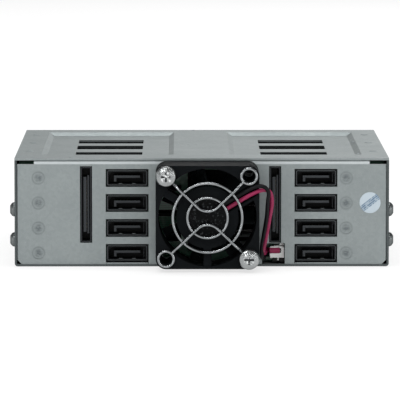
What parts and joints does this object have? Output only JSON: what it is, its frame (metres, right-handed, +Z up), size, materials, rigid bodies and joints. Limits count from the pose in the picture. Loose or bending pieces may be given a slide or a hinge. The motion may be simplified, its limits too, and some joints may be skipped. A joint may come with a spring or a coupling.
{
  "type": "hot swap drive cage",
  "caption": "Steel drive cage for one half-height 5.25 inch bay: slide-out 2.5 inch trays at the front, data and power ports and a guarded fan at the rear.",
  "frame": {"origin": "centre of the case's bottom face", "axes": "+Z up, +Y towards the trays at the front, -Y towards the fan and ports, X across"},
  "size_m": [0.1498, 0.1573, 0.0426],
  "materials": {
    "galvanised_steel": "galvanised sheet, satin",
    "painted_steel": "black powder coated sheet",
    "black_plastic": "moulded ABS, fine texture",
    "grey_plastic": "moulded ABS",
    "connector_plastic": "moulded glass filled nylon",
    "fan_plastic": "moulded glass filled PBT",
    "stator_iron": "stacked iron sheets",
    "chrome_wire": "bright plated wire",
    "plated_screw": "bright nickel plated",
    "green_board": "solder masked glass epoxy",
    "white_nylon": "natural nylon",
    "red_lead": "PVC insulation",
    "black_lead": "PVC insulation"
  },
  "bodies": {
    "cage": {"backplane_pcb": "green_board", "centre_divider": "galvanised_steel", "chassis_base": "galvanised_steel", "cover_rivets": "plated_screw", "drive_connectors": "connector_plastic", "fan_frame": "fan_plastic", "fan_guard": "chrome_wire", "fan_guard_screws": "plated_screw", "fan_header": "white_nylon", "fan_lead_black": "black_lead", "fan_lead_red": "red_lead", "fan_plug": "white_nylon", "fan_stator": "stator_iron", "pcb_screws": "plated_screw", "power_port_left": "connector_plastic", "power_port_right": "connector_plastic", "rear_panel": "galvanised_steel", "sata_port_1": "connector_plastic", "sata_port_2": "connector_plastic", "sata_port_3": "connector_plastic", "sata_port_4": "connector_plastic", "sata_port_5": "connector_plastic", "sata_port_6": "connector_plastic", "sata_port_7": "connector_plastic", "sata_port_8": "connector_plastic", "side_screws": "plated_screw", "top_cover": "galvanised_steel"},
    "drive_tray_1": {"tray_1": "painted_steel", "bezel_1": "black_plastic"},
    "swing_lever_1": {"lever_1": "black_plastic"},
    "release_button_1": {"button_1": "grey_plastic"},
    "drive_tray_2": {"tray_2": "painted_steel", "bezel_2": "black_plastic"},
    "swing_lever_2": {"lever_2": "black_plastic"},
    "release_button_2": {"button_2": "grey_plastic"},
    "drive_tray_3": {"tray_3": "painted_steel", "bezel_3": "black_plastic"},
    "swing_lever_3": {"lever_3": "black_plastic"},
    "release_button_3": {"button_3": "grey_plastic"},
    "drive_tray_4": {"tray_4": "painted_steel", "bezel_4": "black_plastic"},
    "swing_lever_4": {"lever_4": "black_plastic"},
    "release_button_4": {"button_4": "grey_plastic"},
    "drive_tray_5": {"tray_5": "painted_steel", "bezel_5": "black_plastic"},
    "swing_lever_5": {"lever_5": "black_plastic"},
    "release_button_5": {"button_5": "grey_plastic"},
    "drive_tray_6": {"tray_6": "painted_steel", "bezel_6": "black_plastic"},
    "swing_lever_6": {"lever_6": "black_plastic"},
    "release_button_6": {"button_6": "grey_plastic"},
    "drive_tray_7": {"tray_7": "painted_steel", "bezel_7": "black_plastic"},
    "swing_lever_7": {"lever_7": "black_plastic"},
    "release_button_7": {"button_7": "grey_plastic"},
    "drive_tray_8": {"tray_8": "painted_steel", "bezel_8": "black_plastic"},
    "swing_lever_8": {"lever_8": "black_plastic"},
    "release_button_8": {"button_8": "grey_plastic"},
    "rotor": {"fan_rotor": "fan_plastic"}
  },
  "joints": [
    {"name": "tray_1_slide", "type": "slide", "parent": "cage", "child": "drive_tray_1", "axis": [0, 1, 0], "range_m": [0, 0.1]},
    {"name": "lever_1_swing", "type": "hinge", "parent": "drive_tray_1", "child": "swing_lever_1", "pos_m": [-0.0685, 0.0658, 0.0057], "axis": [0, 0, 1], "range_deg": [0, 70]},
    {"name": "button_1_press", "type": "slide", "parent": "drive_tray_1", "child": "release_button_1", "axis": [0, -1, 0], "range_m": [0, 0.0012], "stiffness_N_per_m": 300},
    {"name": "tray_2_slide", "type": "slide", "parent": "cage", "child": "drive_tray_2", "axis": [0, 1, 0], "range_m": [0, 0.1]},
    {"name": "lever_2_swing", "type": "hinge", "parent": "drive_tray_2", "child": "swing_lever_2", "pos_m": [-0.0685, 0.0658, 0.0155], "axis": [0, 0, 1], "range_deg": [0, 70]},
    {"name": "button_2_press", "type": "slide", "parent": "drive_tray_2", "child": "release_button_2", "axis": [0, -1, 0], "range_m": [0, 0.0012], "stiffness_N_per_m": 300},
    {"name": "tray_3_slide", "type": "slide", "parent": "cage", "child": "drive_tray_3", "axis": [0, 1, 0], "range_m": [0, 0.1]},
    {"name": "lever_3_swing", "type": "hinge", "parent": "drive_tray_3", "child": "swing_lever_3", "pos_m": [-0.0685, 0.0658, 0.0253], "axis": [0, 0, 1], "range_deg": [0, 70]},
    {"name": "button_3_press", "type": "slide", "parent": "drive_tray_3", "child": "release_button_3", "axis": [0, -1, 0], "range_m": [0, 0.0012], "stiffness_N_per_m": 300},
    {"name": "tray_4_slide", "type": "slide", "parent": "cage", "child": "drive_tray_4", "axis": [0, 1, 0], "range_m": [0, 0.1]},
    {"name": "lever_4_swing", "type": "hinge", "parent": "drive_tray_4", "child": "swing_lever_4", "pos_m": [-0.0685, 0.0658, 0.0351], "axis": [0, 0, 1], "range_deg": [0, 70]},
    {"name": "button_4_press", "type": "slide", "parent": "drive_tray_4", "child": "release_button_4", "axis": [0, -1, 0], "range_m": [0, 0.0012], "stiffness_N_per_m": 300},
    {"name": "tray_5_slide", "type": "slide", "parent": "cage", "child": "drive_tray_5", "axis": [0, 1, 0], "range_m": [0, 0.1]},
    {"name": "lever_5_swing", "type": "hinge", "parent": "drive_tray_5", "child": "swing_lever_5", "pos_m": [0.0041, 0.0658, 0.0057], "axis": [0, 0, 1], "range_deg": [0, 70]},
    {"name": "button_5_press", "type": "slide", "parent": "drive_tray_5", "child": "release_button_5", "axis": [0, -1, 0], "range_m": [0, 0.0012], "stiffness_N_per_m": 300},
    {"name": "tray_6_slide", "type": "slide", "parent": "cage", "child": "drive_tray_6", "axis": [0, 1, 0], "range_m": [0, 0.1]},
    {"name": "lever_6_swing", "type": "hinge", "parent": "drive_tray_6", "child": "swing_lever_6", "pos_m": [0.0041, 0.0658, 0.0155], "axis": [0, 0, 1], "range_deg": [0, 70]},
    {"name": "button_6_press", "type": "slide", "parent": "drive_tray_6", "child": "release_button_6", "axis": [0, -1, 0], "range_m": [0, 0.0012], "stiffness_N_per_m": 300},
    {"name": "tray_7_slide", "type": "slide", "parent": "cage", "child": "drive_tray_7", "axis": [0, 1, 0], "range_m": [0, 0.1]},
    {"name": "lever_7_swing", "type": "hinge", "parent": "drive_tray_7", "child": "swing_lever_7", "pos_m": [0.0041, 0.0658, 0.0253], "axis": [0, 0, 1], "range_deg": [0, 70]},
    {"name": "button_7_press", "type": "slide", "parent": "drive_tray_7", "child": "release_button_7", "axis": [0, -1, 0], "range_m": [0, 0.0012], "stiffness_N_per_m": 300},
    {"name": "tray_8_slide", "type": "slide", "parent": "cage", "child": "drive_tray_8", "axis": [0, 1, 0], "range_m": [0, 0.1]},
    {"name": "lever_8_swing", "type": "hinge", "parent": "drive_tray_8", "child": "swing_lever_8", "pos_m": [0.0041, 0.0658, 0.0351], "axis": [0, 0, 1], "range_deg": [0, 70]},
    {"name": "button_8_press", "type": "slide", "parent": "drive_tray_8", "child": "release_button_8", "axis": [0, -1, 0], "range_m": [0, 0.0012], "stiffness_N_per_m": 300},
    {"name": "rotor_spin", "type": "hinge", "parent": "cage", "child": "rotor", "pos_m": [0.0021, -0.075, 0.02115], "axis": [0, 1, 0], "continuous": true}
  ]
}
